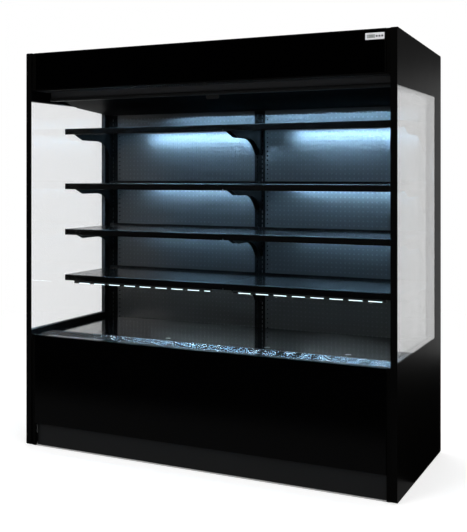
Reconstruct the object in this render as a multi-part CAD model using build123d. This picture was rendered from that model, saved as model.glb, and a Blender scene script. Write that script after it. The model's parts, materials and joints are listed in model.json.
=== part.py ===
from build123d import *
import math
import os

# Open multideck display fridge with a plug-in refrigeration unit in its base.
# Millimetres. X runs to the right seen from the front, Y from the open front to the back, Z up.
# The origin is on the floor, in the middle of the cabinet's footprint.

# Overall cabinet
width = 1935.0
depth = 800.0
height = 2000.0
seat_gap = 0.3              # clearance between pieces that seat against each other
running_gap = 0.05          # radial clearance of a shaft in its bore
sheet = 1.5                 # folded steel sheet
front = -depth / 2
back = depth / 2

# Side panels and their double glazing
side_thickness = 30.0
side_floor_gap = 5.0
side_top_fall = 32.0        # the top edge falls this much from front to back
side_corner = 8.0
window_front = front + 4.0
window_back = back - 127.0
window_bottom = 588.0
window_top = height - 243.0
pane_thickness = 4.0
pane_recess = 1.0
pane_corner = 2.0
spacer_width = 4.0
inner_side = width / 2 - side_thickness
between_sides = inner_side - seat_gap

# Front: header, lower panel and kick plate
face_setback = 4.0          # the front faces lie this far behind the edges of the side panels
face_depth = 20.0
trim_width = 20.0
trim_setback = 10.0
face_half = inner_side - trim_width
face_front = front + face_setback
face_back = face_front + face_depth
header_height = 192.0
header_top = height - 2.0
header_bottom = header_top - header_height
header_border = 6.0
header_pane_thickness = 4.0
header_pane_recess = 2.0
front_panel_bottom = 115.0
front_panel_edge = 3.0
kick_setback = 29.0
kick_bottom = 3.0
kick_top = 118.0
kick_flange = 11.0

# Base frame and feet
rail = 40.0
rail_wall = 3.0
frame_bottom = 60.0
frame_top = frame_bottom + rail
frame_front = front + kick_setback + sheet + seat_gap
frame_back = back - 32.0
cross_rail_x = 300.0
foot_radius = 20.0
foot_sides = 16
foot_height = 8.0
stem_radius = 7.0

# Insulated well under the deck
well_bottom = 350.0
well_wall = 40.0
well_end_wall = 20.0
well_rim = 540.7
well_front = face_back + seat_gap
rear_wall = 53.0            # insulated rear wall
rear_wall_back = back - 2.0
rear_wall_front = rear_wall_back - rear_wall
casing_grooves = 4
casing_groove = 60.0
casing_groove_depth = 3.0
casing_groove_end = 120.0
well_floor = well_bottom + well_wall
well_back = rear_wall_front - seat_gap

# Deck and return air grille
deck_top = 566.0
deck_front = front + 169.0
deck_bottom = well_rim + seat_gap
finger_hole_radius = 14.0
finger_hole_spacing = 400.0
finger_hole_inset = 45.0
grille_border = 9.0
grille_rows = 7
grille_columns = 6
grille_bar = 7.0
grille_tie = 10.0
grille_plate = 4.0

# Shelving: slotted uprights, brackets and shelves
bay_division = 25.0         # the joint between the two bays lies off the middle
upright_width = 60.0
upright_end_gap = 3.5
upright_depth = 42.7
upright_face = well_back - upright_depth
upright_sheet = 2.5
slot_pitch = 48.6
slot_height = 14.0
slot_width = 4.5
slot_first = 574.5
slot_inset = 15.5           # distance of a middle slot column from the edge of its upright
slots_below_top = 30.0      # the upper hook's slot is this far below its shelf's top
hook_spacing = 2            # slots between the two hooks of a bracket
hook_depth = 4.0
hook_rise = 5.0             # height of a hook above the middle of its slot
hook_drop = 12.0            # its tongue hangs this far below
shelf_count = 4
lowest_shelf_slot = 5
slots_above_shelves = 2     # slots left free above the highest shelf's
shelf_depth = 433.0
shelf_back = upright_face - 10.0
shelf_front = shelf_back - shelf_depth
deck_back = upright_face - 2.0
shelf_edge = 31.0
shelf_side_flange = 24.0
shelf_return = 12.0         # width of the front edge's return and of the back's lip
shelf_bend = 2.5
shelf_end_gap = 20.5
bay_gap = 5.0
rib_width = 40.0
rib_height = 12.0
rib_end_gap = 12.0
bracket_sheet = 3.0
bracket_tip = 11.0
bracket_tip_height = 8.0
bracket_taper = 130.0
bracket_arm = 58.0
bracket_curve = 160.0
bracket_heel = 27.0
bracket_back = 142.0

# Perforated back panels
back_panel_face = upright_face + 3.0
back_panel_bottom = 545.0
back_panel_flange = 20.0
perforation = 6.0
perforation_pitch = 144.0
perforation_margin = 60.0

# Lighting
led_width = 20.0
led_height = 12.0
led_setback = 29.0
led_end_gap = 26.5
led_plug_gap = 67.0         # room for the plug at a strip's right end
led_lens = 4.0              # height of the lens below the strip's channel
led_bevel = 5.0
canopy_lamp_length = 1500.0
canopy_lamp_setback = 10.0

# Canopy: roof, duct, air outlet and night blind
roof_bottom = height - 110.0
roof_step = 12.0
roof_rib_width = 90.0
roof_rib_height = 4.0
roof_rib_end = 60.0
roof_ribs = 4
duct_back_height = header_bottom - 84.0
duct_knee = (front + 400.0, header_bottom - 61.0)
duct_front = (front + 160.0, header_bottom - 11.0)
duct_lip = 8.0
upright_top = duct_back_height - 2.0
outlet_bottom = header_bottom + 2.0
outlet_height = 22.0
outlet_back = front + 138.0
outlet_cells = 30
outlet_border = 12.0
outlet_vane = 3.0
blind_line = front + 150.0  # the fabric hangs this far back
blind_bar_bottom = header_bottom - 44.0
blind_bar_height = 18.0
blind_bar_depth = 16.0
blind_bar_end_gap = 12.0
blind_tab_width = 70.0
blind_tab_drop = 20.0
blind_tab_sheet = 5.0
blind_fabric = 0.8
roller_radius = 23.0
roller_height = header_bottom + 29.0
gudgeon_radius = 6.0
gudgeon_length = 10.0

# Evaporator and its fans
fan_plate_top_y = front + 195.0
fan_plate_bottom_y = front + 290.0
fan_plate_flange = 46.0
fan_plate_sheet = 2.0
evaporator_fan_x = (-600.0, 0.0, 600.0)
evaporator_fan_radius = 74.0
fan_hole_gap = 4.0
fan_blades = 5
fan_hub_radius = 26.0
fan_hub_overlap = 4.0       # how far a blade's root reaches into the hub
fan_hub_sides = 10
fan_hub_length = 22.0
fan_setback = 6.0           # clear distance of a hub from its plate
fan_shaft_radius = 4.0
fan_pitch_angle = 30.0
fan_chord = 0.5             # chord of a blade as a share of its radius
fan_blade_thickness = 2.0
motor_radius = 30.0
motor_sides = 12
motor_length = 44.0
motor_setback = 4.0
motor_arm = 10.0
arm_overlap = 6.0           # how far an arm's end lies over the plate
shaft_end = 3.0             # how far a shaft stands out of its hub
coil_half_length = inner_side - 177.5
coil_front = front + 350.0
coil_back = front + 560.0
coil_height = 125.0
coil_fins = 24
coil_groove = 4.0
coil_end_plate = 3.0
coil_tube_radius = 6.0
coil_tube_rows = 4
saddle_width = 40.0         # the channel on the coil that carries the decks' meeting ends

# Condensing unit
unit_length = 645.0
unit_right = inner_side - 7.5
unit_left = unit_right - unit_length
unit_front = front + 72.0
unit_back = back - 100.0
unit_edge = 25.0
condenser_x = unit_right - 262.0
condenser_length = 362.0
condenser_height = 220.0
condenser_depth = 50.0
condenser_setback = 4.0
condenser_fins = 14
condenser_tube_rows = 5
shroud_depth = 52.0
shroud_border = 12.0
shroud_sheet = 2.0
condenser_fan_radius = 98.0
compressor_x = unit_left + 275.0
compressor_y = unit_back - 180.0
compressor_radius = 90.0
compressor_height = 190.0
compressor_sides = 32
compressor_dome = 32.0
compressor_seam = 6.0
grommet_height = 16.0
grommet_radius = 13.0
grommet_plate = 4.0
stub_height = 60.0          # suction and discharge stubs
stub_spread = 30.0

# Rear service panel and mains gland
service_depth = 16.0
service_setback = 8.0
louvre_length = 150.0
louvre_height = 8.0
louvre_pitch = 26.0
louvre_rows = 6
louvre_x = (-560.0, -180.0, 200.0, 580.0)
gland_x = -inner_side + 137.5
gland_z = 160.0
gland_bore = 5.0
gland_radius = 12.0
gland_sides = 16
gland_nut_radius = 16.0
gland_length = 20.0
gland_proud = 6.0

# Temperature controller in the header
controller_width = 84.0
controller_height = 29.0
controller_right = face_half - 6.5
controller_top = header_top - 17.0
controller_proud = 1.5
controller_body_depth = 12.0
display_width = 36.0
display_height = 15.0
display_offset = -17.0
button_size = 8.0
button_pitch = 12.0
button_offset = 14.0
button_travel = 0.8
button_gap = 0.4


def block(x, y, z):
    """A rectangular solid between three pairs of limits."""
    solid = Box(x[1] - x[0], y[1] - y[0], z[1] - z[0])
    return Pos((x[0] + x[1]) / 2, (y[0] + y[1]) / 2, (z[0] + z[1]) / 2) * solid


def profile_along_x(outline, x_low, x_high):
    """A profile drawn in Y and Z, extruded along X."""
    face = Polygon(*outline, align=None)
    return extrude(Plane.YZ.offset(x_low) * face, amount=x_high - x_low, dir=(1, 0, 0))


def face_along_y(face, y_low, y_high):
    """A face drawn in X and Z, extruded along Y."""
    return extrude(Plane.XZ.offset(-y_low) * face, amount=y_high - y_low, dir=(0, 1, 0))


def folded(path, thickness):
    """The outline of a sheet folded along a path, with its thickness on the left of travel."""
    normals = []
    for (a0, b0), (a1, b1) in zip(path, path[1:]):
        length = math.dist((a0, b0), (a1, b1))
        normals.append(((b0 - b1) / length, (a1 - a0) / length))
    other = []
    for place, (a, b) in enumerate(path):
        before = normals[max(place - 1, 0)]
        after = normals[min(place, len(normals) - 1)]
        reach = thickness / (1 + before[0] * after[0] + before[1] * after[1])
        other.append((a + (before[0] + after[0]) * reach, b + (before[1] + after[1]) * reach))
    return list(path) + other[::-1]


def rectangle(x, z):
    """A flat rectangle between two pairs of limits."""
    return Pos((x[0] + x[1]) / 2, (z[0] + z[1]) / 2) * Rectangle(x[1] - x[0], z[1] - z[0])


def along_y(x, z, y_low, y_high, radius):
    """A cylinder along Y."""
    middle = Pos(x, (y_low + y_high) / 2, z)
    return middle * Rot(90, 0, 0) * Cylinder(radius, y_high - y_low)


def along_x(y, z, x_low, x_high, radius):
    """A cylinder along X."""
    middle = Pos((x_low + x_high) / 2, y, z)
    return middle * Rot(0, 90, 0) * Cylinder(radius, x_high - x_low)


def save(name, *pieces):
    """Write one named node, which may be a group of separate like pieces."""
    solids = [solid for piece in pieces for solid in piece.solids()]
    export_step(solids[0] if len(solids) == 1 else Compound(solids), f"parts/{name}.step")


def roof_height(y):
    """Height of the roof at a place between front and back, parallel to the sides' top edges."""
    return height - roof_step - side_top_fall * (y - front) / depth


# Side panels

def side_panel():
    outline = [
        (front, side_floor_gap),
        (back, side_floor_gap),
        (back, height - side_top_fall),
        (front, height),
    ]
    face = Polygon(*outline, align=None)
    face = fillet(face.vertices(), side_corner)
    face -= rectangle((window_front, window_back), (window_bottom, window_top))
    panel = extrude(Plane.YZ.offset(inner_side) * face, amount=side_thickness)
    bore = along_x(
        roller_y(), roller_height, inner_side - 1, inner_side + gudgeon_length + 1,
        gudgeon_radius + running_gap,
    )
    return panel - bore


def pane_limits(margin):
    y = (window_front + margin, window_back - margin)
    z = (window_bottom + margin, window_top - margin)
    return y, z


def side_panes():
    y, z = pane_limits(seat_gap)
    outside = width / 2 - pane_recess
    inside = inner_side + pane_recess
    outer = block((outside - pane_thickness, outside), y, z)
    inner = block((inside, inside + pane_thickness), y, z)
    return [chamfer(pane.edges().filter_by(Axis.X), pane_corner) for pane in (outer, inner)]


def glazing_spacer():
    ring = rectangle(*pane_limits(seat_gap)) - rectangle(*pane_limits(seat_gap + spacer_width))
    low = inner_side + pane_recess + pane_thickness
    high = width / 2 - pane_recess - pane_thickness
    return extrude(Plane.YZ.offset(low) * ring, amount=high - low)


# Rear wall, well, roof and canopy

def rear_casing():
    z_low = well_bottom
    z_high = roof_bottom - seat_gap
    wall = block((-between_sides, between_sides), (rear_wall_front, rear_wall_back), (z_low, z_high))
    groove = block(
        (-casing_groove / 2, casing_groove / 2),
        (rear_wall_back - casing_groove_depth, rear_wall_back + 1),
        (z_low + casing_groove_end, z_high - casing_groove_end),
    )
    spacing = 2 * between_sides / casing_grooves
    places = [spacing * (number + 0.5) - between_sides for number in range(casing_grooves)]
    return wall - [Pos(x, 0, 0) * groove for x in places]


def insulated_well():
    outline = [
        (well_front, well_bottom),
        (well_back, well_bottom),
        (well_back, well_floor),
        (well_front + well_wall, well_floor),
        (well_front + well_wall, well_rim),
        (well_front, well_rim),
    ]
    trough = profile_along_x(outline, -between_sides, between_sides)
    end = block(
        (between_sides - well_end_wall, between_sides), (well_front, well_back), (well_bottom, well_rim)
    )
    return trough + end + mirror(end, about=Plane.YZ)


def roof_panel():
    outline = [
        (well_front, roof_bottom),
        (rear_wall_back, roof_bottom),
        (rear_wall_back, roof_height(rear_wall_back)),
        (well_front, roof_height(well_front)),
    ]
    roof = profile_along_x(outline, -between_sides, between_sides)
    rib_ends = (well_front + roof_rib_end, rear_wall_back - roof_rib_end)
    rib_outline = [
        (rib_ends[0], roof_height(rib_ends[0]) - 1),
        (rib_ends[1], roof_height(rib_ends[1]) - 1),
        (rib_ends[1], roof_height(rib_ends[1]) + roof_rib_height),
        (rib_ends[0], roof_height(rib_ends[0]) + roof_rib_height),
    ]
    spacing = 2 * between_sides / roof_ribs
    for number in range(roof_ribs):
        middle = -between_sides + spacing * (number + 0.5)
        roof += profile_along_x(rib_outline, middle - roof_rib_width / 2, middle + roof_rib_width / 2)
    return roof


def canopy_duct():
    path = [
        (duct_front[0], duct_front[1] + duct_lip),
        duct_front,
        duct_knee,
        (upright_face - seat_gap, duct_back_height),
    ]
    return profile_along_x(folded(path, sheet), -between_sides, between_sides)


def air_outlet():
    limits_y = (face_back + seat_gap, outlet_back)
    plate = rectangle((-between_sides, between_sides), limits_y)
    pitch = 2 * (between_sides - outlet_border) / outlet_cells
    cell = Rectangle(pitch - outlet_vane, limits_y[1] - limits_y[0] - 2 * outlet_border)
    middle = (limits_y[0] + limits_y[1]) / 2
    cells = [Pos(place.position.X, middle) * cell for place in GridLocations(pitch, 1, outlet_cells, 1)]
    return extrude(Plane.XY.offset(outlet_bottom) * (plate - cells), amount=outlet_height)


# Header, front panel and kick plate

def header_frame():
    outer = rectangle((-face_half, face_half), (header_bottom, header_top))
    pocket = rectangle(
        (-face_half + header_border, face_half - header_border),
        (header_bottom + header_border, header_top - header_border),
    )
    frame = face_along_y(outer, face_front, face_back)
    return frame - face_along_y(pocket, face_front - 1, face_back - sheet) - controller_cutout(face_back + 1)


def header_pane():
    inset = header_border + seat_gap
    pane = rectangle(
        (-face_half + inset, face_half - inset), (header_bottom + inset, header_top - inset)
    )
    y_low = face_front + header_pane_recess
    return face_along_y(pane, y_low, y_low + header_pane_thickness) - controller_cutout(face_back)


def front_panel():
    outer = block(
        (-face_half, face_half), (face_front, face_back), (front_panel_bottom, deck_top)
    )
    rounded = outer.edges().group_by(Axis.Y)[0]
    outer = fillet(rounded, front_panel_edge)
    hollow = block(
        (-face_half + sheet, face_half - sheet),
        (face_front + sheet, face_back + 1),
        (front_panel_bottom + sheet, deck_top - sheet),
    )
    return outer - hollow


def end_trims():
    x = (face_half + seat_gap, inner_side - seat_gap)
    trims = []
    for z in ((header_bottom, header_top), (kick_bottom, deck_top)):
        trim = block(x, (front + trim_setback, face_back), z)
        trims += [trim, mirror(trim, about=Plane.YZ)]
    return trims


def kick_plate():
    """A plate in front of the feet with one flange, along its top."""
    face = front + kick_setback
    path = [(face + kick_flange, kick_top), (face, kick_top), (face, kick_bottom)]
    return profile_along_x(folded(path, sheet), -face_half, face_half)


# Base frame and feet

def channel_ring(x_low, x_high, y_low, y_high, wall):
    """A rectangular ring of rails in plan, thinned by a wall on both sides."""
    outer = rectangle((x_low + wall, x_high - wall), (y_low + wall, y_high - wall))
    inner_x = (x_low + rail - wall, x_high - rail + wall)
    inner_y = (y_low + rail - wall, y_high - rail + wall)
    return outer - rectangle(inner_x, inner_y)


def base_frame():
    ends = (-between_sides, between_sides)
    ring = channel_ring(*ends, frame_front, frame_back, 0)
    hollow = channel_ring(*ends, frame_front, frame_back, rail_wall)
    for x in (-cross_rail_x, cross_rail_x):
        ring += rectangle((x - rail / 2, x + rail / 2), (frame_front, frame_back))
        inside = rail / 2 - rail_wall
        hollow += rectangle((x - inside, x + inside), (frame_front + rail_wall, frame_back - rail_wall))
    frame = extrude(Plane.XY.offset(frame_bottom) * ring, amount=rail)
    return frame - extrude(Plane.XY.offset(frame_bottom - 1) * hollow, amount=rail - rail_wall + 1)


def levelling_feet():
    """Round pads on hexagonal stems, which screw up into the base frame."""
    pad = extrude(RegularPolygon(foot_radius, foot_sides), amount=foot_height)
    stem_top = frame_top - rail_wall - seat_gap
    stem = Plane.XY.offset(foot_height) * RegularPolygon(stem_radius, 6)
    foot = pad + extrude(stem, amount=stem_top - foot_height)
    outer_x = between_sides - rail / 2
    places = [
        (x, y)
        for x in (-outer_x, -cross_rail_x, cross_rail_x, outer_x)
        for y in (frame_front + rail / 2, frame_back - rail / 2)
    ]
    return [Pos(x, y, 0) * foot for x, y in places]


# Shelving

slot_count = int((upright_top - slot_first) // slot_pitch) + 1


def shelf_tops():
    """Heights of the shelves, highest first, spread over the slots with the wider steps above."""
    spread = slot_count - 1 - slots_above_shelves - lowest_shelf_slot
    steps = shelf_count - 1
    taken = [lowest_shelf_slot + spread * number // steps for number in range(shelf_count)]
    return [slot_first + slot_pitch * slot + slots_below_top for slot in reversed(taken)]


def upright(x, columns):
    """A slotted channel upright, centred on x, with its slot columns at these offsets."""
    half = upright_width / 2
    limits_z = (well_rim + seat_gap, upright_top)
    web = rectangle((x - half, x + half), limits_z)
    slot_middle = slot_first + slot_pitch * (slot_count - 1) / 2
    slots = [
        Pos(x + column, slot_middle + place.position.Y) * Rectangle(slot_width, slot_height)
        for column in columns
        for place in GridLocations(1, slot_pitch, 1, slot_count)
    ]
    channel = face_along_y(web - slots, upright_face, upright_face + upright_sheet)
    flange = block(
        (x - half, x - half + upright_sheet), (upright_face + upright_sheet, well_back), limits_z
    )
    other = Pos(upright_width - upright_sheet, 0, 0) * flange
    return channel + flange + other


def upright_places():
    """Centre and slot columns of each upright: one column at the ends, two at the bay division."""
    end = inner_side - upright_width / 2 - upright_end_gap
    column = upright_width / 2 - slot_inset
    return [(-end, (0,)), (bay_division, (-column, column)), (end, (0,))]


def bay_limits(bay):
    """Ends of a bay's shelves along X."""
    if bay == 0:
        return -inner_side + shelf_end_gap, bay_division - bay_gap / 2
    return bay_division + bay_gap / 2, inner_side - shelf_end_gap


def bracket_places(bay):
    """The slot columns that carry a bay's two brackets."""
    columns = [x + offset for x, offsets in upright_places() for offset in offsets]
    return columns[2 * bay], columns[2 * bay + 1]


def bracket(x, top):
    """A cantilever bracket: a tapered arm, a concave arc down to its heel and two hooks."""
    heel_end = upright_face - seat_gap
    heel_front = heel_end - bracket_heel
    seat = top - sheet - seat_gap
    arm = top - bracket_arm
    tip_y = shelf_front + bracket_tip
    drop = bracket_back - bracket_arm
    turn = math.acos(1 - drop / bracket_curve)
    curve_front = heel_front - bracket_curve * math.sin(turn)
    halfway = (
        curve_front + bracket_curve * math.sin(turn / 2),
        arm - bracket_curve * (1 - math.cos(turn / 2)),
    )
    lines = [
        Polyline(
            (heel_front, top - bracket_back),
            (heel_end, top - bracket_back),
            (heel_end, seat),
            (tip_y, seat),
            (tip_y, top - bracket_tip_height),
            (tip_y + bracket_taper, arm),
            (curve_front, arm),
        ),
        ThreePointArc((curve_front, arm), halfway, (heel_front, top - bracket_back)),
    ]
    face = make_face([edge for line in lines for edge in line.edges()])
    for number in (0, hook_spacing):
        slot = top - slots_below_top - slot_pitch * number
        behind = upright_face + upright_sheet + seat_gap
        face += rectangle((heel_end - 1, behind + hook_depth), (slot - 2, slot + hook_rise))
        face += rectangle((behind, behind + hook_depth), (slot - hook_drop, slot + hook_rise))
    return extrude(Plane.YZ.offset(x - bracket_sheet / 2) * face, amount=bracket_sheet)


def shelf_tray(bay, top):
    """A folded shelf: front edge with a return, top, raised back lip, side flanges and a rib."""
    x_low, x_high = bay_limits(bay)
    path = [
        (shelf_front + shelf_return, top - shelf_edge),
        (shelf_front, top - shelf_edge),
        (shelf_front, top),
        (shelf_back - sheet, top),
        (shelf_back - sheet, top + shelf_return),
    ]
    outline = folded(path, -sheet)
    tray = profile_along_x(outline, x_low, x_high)
    front_bends = tray.edges().filter_by(Axis.X).group_by(Axis.Y)[0]
    tray = fillet(front_bends, shelf_bend)
    for x in (x_low, x_high - sheet):
        tray += block(
            (x, x + sheet),
            (shelf_front + shelf_bend, shelf_back),
            (top - shelf_side_flange, top - sheet / 2),
        )
    left, right = bracket_places(bay)
    middle = (shelf_front + shelf_back) / 2
    tray += block(
        (left + rib_end_gap, right - rib_end_gap),
        (middle - rib_width / 2, middle + rib_width / 2),
        (top - rib_height, top - sheet / 2),
    )
    return tray


def led_outline(y, top):
    """The section of a light strip: an aluminium channel with a bevelled lens, seated under a top."""
    low = top - led_height
    return [
        (y, low + led_lens),
        (y + led_bevel, low),
        (y + led_width - led_bevel, low),
        (y + led_width, low + led_lens),
        (y + led_width, top),
        (y, top),
    ]


def led_strip(bay, top):
    left, right = bracket_places(bay)
    outline = led_outline(shelf_front + led_setback, top - sheet - seat_gap)
    return profile_along_x(outline, left + led_end_gap, right - led_plug_gap)


def canopy_light():
    y = duct_front[0] + canopy_lamp_setback
    slope = (duct_knee[1] - duct_front[1]) / (duct_knee[0] - duct_front[0])
    top = duct_front[1] + slope * (led_width + canopy_lamp_setback) - seat_gap
    return profile_along_x(led_outline(y, top), -canopy_lamp_length / 2, canopy_lamp_length / 2)


def back_panel(bay):
    """A perforated back panel between two uprights, with its sides folded back."""
    (left, _), (right, _) = upright_places()[bay:bay + 2]
    x_low = left + upright_width / 2 + seat_gap
    x_high = right - upright_width / 2 - seat_gap
    limits_z = (back_panel_bottom, duct_back_height - seat_gap - 2)
    face = rectangle((x_low, x_high), limits_z)
    room = (x_high - x_low - 2 * perforation_margin, limits_z[1] - deck_top - 2 * perforation_margin)
    columns = int(room[0] // perforation_pitch) + 1
    rows = int(room[1] // perforation_pitch) + 1
    middle = Pos((x_low + x_high) / 2, (deck_top + limits_z[1]) / 2)
    hole = Rectangle(perforation, perforation)
    grid = GridLocations(perforation_pitch, perforation_pitch, columns, rows)
    holes = [middle * place * hole for place in grid]
    panel = face_along_y(face - holes, back_panel_face, back_panel_face + sheet)
    for x in (x_low, x_high - sheet):
        panel += block(
            (x, x + sheet), (back_panel_face + sheet, back_panel_face + back_panel_flange), limits_z
        )
    return panel


# Deck and return air grille

def deck_tray(bay):
    """A lift-out deck tray: a pan upside down, with two finger holes."""
    x = (-between_sides, bay_division - seat_gap) if bay == 0 else (bay_division + seat_gap, between_sides)
    pan = block(x, (deck_front + seat_gap, deck_back), (deck_bottom, deck_top))
    pan -= block(
        (x[0] + sheet, x[1] - sheet),
        (deck_front + seat_gap + sheet, deck_back - sheet),
        (deck_bottom - 1, deck_top - sheet),
    )
    middle = (x[0] + x[1]) / 2
    hole = Cylinder(finger_hole_radius, 10)
    for offset in (-finger_hole_spacing / 2, finger_hole_spacing / 2):
        pan -= Pos(middle + offset, deck_front + finger_hole_inset, deck_top) * hole
    return pan


def return_grille():
    y = (well_front, deck_front - seat_gap)
    plate = rectangle((-between_sides, between_sides), y)
    pitch_x = 2 * (between_sides - grille_border) / grille_columns
    pitch_y = (y[1] - y[0] - 2 * grille_border + grille_bar) / grille_rows
    slot = Rectangle(pitch_x - grille_tie, pitch_y - grille_bar)
    middle = Pos(0, (y[0] + y[1]) / 2)
    slots = [middle * place * slot for place in GridLocations(pitch_x, pitch_y, grille_columns, grille_rows)]
    top = extrude(Plane.XY.offset(deck_top - grille_plate) * (plate - slots), amount=grille_plate)
    skirt = plate - rectangle((-between_sides + sheet, between_sides - sheet), (y[0] + sheet, y[1] - sheet))
    return top + extrude(Plane.XY.offset(deck_bottom) * skirt, amount=deck_top - deck_bottom - 1)


# Fans

def fan_rotor(radius):
    """An axial rotor about Z: a hub with a shaft bore and flat pitched blades with cut corners."""
    chord = radius * fan_chord
    length = math.sqrt(radius**2 - (chord / 2) ** 2)
    root = fan_hub_radius - fan_hub_overlap
    outline = [
        (root, -chord / 4),
        (length, -chord / 2),
        (length, chord / 2),
        (root, chord / 4),
    ]
    blade = extrude(Polygon(*outline, align=None), amount=fan_blade_thickness / 2, both=True)
    blade = Rot(fan_pitch_angle, 0, 0) * blade
    rotor = extrude(RegularPolygon(fan_hub_radius, fan_hub_sides), amount=fan_hub_length / 2, both=True)
    for number in range(fan_blades):
        rotor += Rot(0, 0, 360 / fan_blades * number) * blade
    return rotor - Cylinder(fan_shaft_radius + running_gap, 2 * fan_hub_length)


def fan_motor(reach):
    """A motor on three arms and its shaft, about Z, below the plate that it is fixed to at zero."""
    can = RegularPolygon(motor_radius, motor_sides)
    body = extrude(Plane.XY.offset(-motor_setback - motor_length) * can, amount=motor_length)
    shaft_top = fan_setback + fan_hub_length + shaft_end
    shaft_low = -motor_setback - 1
    shaft = Pos(0, 0, (shaft_low + shaft_top) / 2) * Cylinder(fan_shaft_radius, shaft_top - shaft_low)
    arm = block((0, reach), (-motor_arm / 2, motor_arm / 2), (-motor_setback - 1, 1))
    arms = [Rot(0, 0, 120 * number) * arm for number in range(3)]
    return (body + arms) + shaft


def fan_planes():
    """The plane of each evaporator fan's opening, facing the coil."""
    top = (fan_plate_top_y, well_rim)
    bottom = (fan_plate_bottom_y, well_floor)
    middle = ((top[0] + bottom[0]) / 2, (top[1] + bottom[1]) / 2)
    facing = (0, top[1] - bottom[1], bottom[0] - top[0])
    return [
        Plane(origin=(x, middle[0], middle[1]), x_dir=(1, 0, 0), z_dir=facing)
        for x in evaporator_fan_x
    ]


def evaporator_fan_plate():
    """The sloping plate between the return air and the coil, with its three motors."""
    path = [
        (fan_plate_bottom_y + fan_plate_flange, well_floor + seat_gap),
        (fan_plate_bottom_y, well_floor + seat_gap),
        (fan_plate_top_y, well_rim - fan_plate_sheet),
        (fan_plate_top_y - fan_plate_flange, well_rim - fan_plate_sheet),
    ]
    half = between_sides - well_end_wall - seat_gap
    plate = profile_along_x(folded(path, -fan_plate_sheet), -half, half)
    hole_radius = evaporator_fan_radius + fan_hole_gap
    for plane in fan_planes():
        plate -= plane * Cylinder(hole_radius, 30)
    for plane in fan_planes():
        plate += plane * fan_motor(hole_radius + arm_overlap)
    return plate


def evaporator_fan(number):
    plane = fan_planes()[number]
    return plane * Pos(0, 0, fan_setback + fan_hub_length / 2) * fan_rotor(evaporator_fan_radius)


# Coils

def return_bend(reach):
    """A hairpin bend beside X zero that joins two tubes, with its corners cut."""
    outer = reach + coil_tube_radius
    inner = reach - coil_tube_radius
    outline = [(0, -outer), (outer / 2, -outer), (outer, -outer / 2)]
    outline += [(outer, outer / 2), (outer / 2, outer), (0, outer)]
    outline += [(0, inner), (inner / 2, inner), (inner, inner / 2)]
    outline += [(inner, -inner / 2), (inner / 2, -inner), (0, -inner)]
    return extrude(Polygon(*outline, align=None), amount=coil_tube_radius, both=True)


def finned_coil(length, thickness, tall, fins, rows):
    """A finned coil along X, seated at z zero: a grooved block, end plates and return bends."""
    coil = Pos(0, 0, tall / 2) * Box(length, thickness, tall)
    pitch = length / fins
    groove = Box(pitch / 2, thickness + 2, 2 * coil_groove)
    coil -= [Pos((number - (fins - 1) / 2) * pitch, 0, tall) * groove for number in range(fins)]
    for side in (-1, 1):
        x = side * (length / 2 + coil_end_plate / 2)
        coil += Pos(x, 0, tall / 2) * Box(coil_end_plate, thickness, tall)
    spacing = tall / rows
    reach = min(thickness, 4 * spacing) / 4
    bend = return_bend(reach)
    for row in range(rows):
        coil += Pos(length / 2 + coil_end_plate, 0, spacing * (row + 0.5)) * bend
    return coil


def evaporator_coil():
    """The coil in the well, with a saddle on it that the two deck trays rest on where they meet."""
    middle = (coil_front + coil_back) / 2
    coil = finned_coil(2 * coil_half_length, coil_back - coil_front, coil_height, coil_fins, coil_tube_rows)
    coil = Pos(0, middle, well_floor + seat_gap) * coil
    x = (bay_division - saddle_width / 2, bay_division + saddle_width / 2)
    coil_top = well_floor + seat_gap + coil_height
    saddle = block(x, (coil_front, coil_back), (coil_top - 1, well_rim))
    saddle -= block(
        (x[0] + sheet, x[1] - sheet), (coil_front - 1, coil_back + 1), (coil_top, well_rim - sheet)
    )
    return coil + saddle


# Condensing unit

def unit_floor():
    return frame_top + seat_gap


def condensing_unit_base():
    """A folded tray that carries the compressor and the condenser."""
    x = (unit_left, unit_right)
    y = (unit_front, unit_back)
    z = (unit_floor(), unit_floor() + unit_edge)
    tray = block(x, y, z)
    hollow = block(
        (x[0] + sheet, x[1] - sheet), (y[0] + sheet, y[1] - sheet), (z[0] + sheet, z[1] + 1)
    )
    return tray - hollow


def unit_seat():
    return unit_floor() + sheet + seat_gap


def condenser_coil():
    """The coil at the front of the unit, which draws its air in behind the kick plate."""
    coil = finned_coil(
        condenser_length, condenser_depth, condenser_height, condenser_fins, condenser_tube_rows
    )
    middle_y = unit_front + condenser_setback + condenser_depth / 2
    return Pos(condenser_x, middle_y, unit_seat()) * coil


def condenser_fan_axis():
    """The plane of the condenser fan's mouth, facing the coil."""
    z = unit_seat() + condenser_height / 2
    y = unit_front + condenser_setback + condenser_depth + seat_gap + shroud_depth
    return Plane(origin=(condenser_x, y, z), x_dir=(1, 0, 0), z_dir=(0, -1, 0))


def condenser_shroud():
    """A box behind the coil with a round mouth, which holds the fan motor on three arms."""
    plane = condenser_fan_axis()
    half = condenser_fan_radius + shroud_border
    x = (plane.origin.X - half, plane.origin.X + half)
    y = (plane.origin.Y - shroud_depth, plane.origin.Y)
    z = (unit_seat(), unit_seat() + condenser_height)
    shroud = block(x, y, z)
    shroud -= block(
        (x[0] + shroud_sheet, x[1] - shroud_sheet),
        (y[0] - 1, y[1] - shroud_sheet),
        (z[0] + shroud_sheet, z[1] - shroud_sheet),
    )
    mouth = condenser_fan_radius + fan_hole_gap
    shroud -= along_y(plane.origin.X, plane.origin.Z, y[1] - 10, y[1] + 10, mouth)
    return shroud + plane * fan_motor(mouth + arm_overlap)


def condenser_fan():
    plane = condenser_fan_axis()
    return plane * Pos(0, 0, fan_setback + fan_hub_length / 2) * fan_rotor(condenser_fan_radius)


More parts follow.
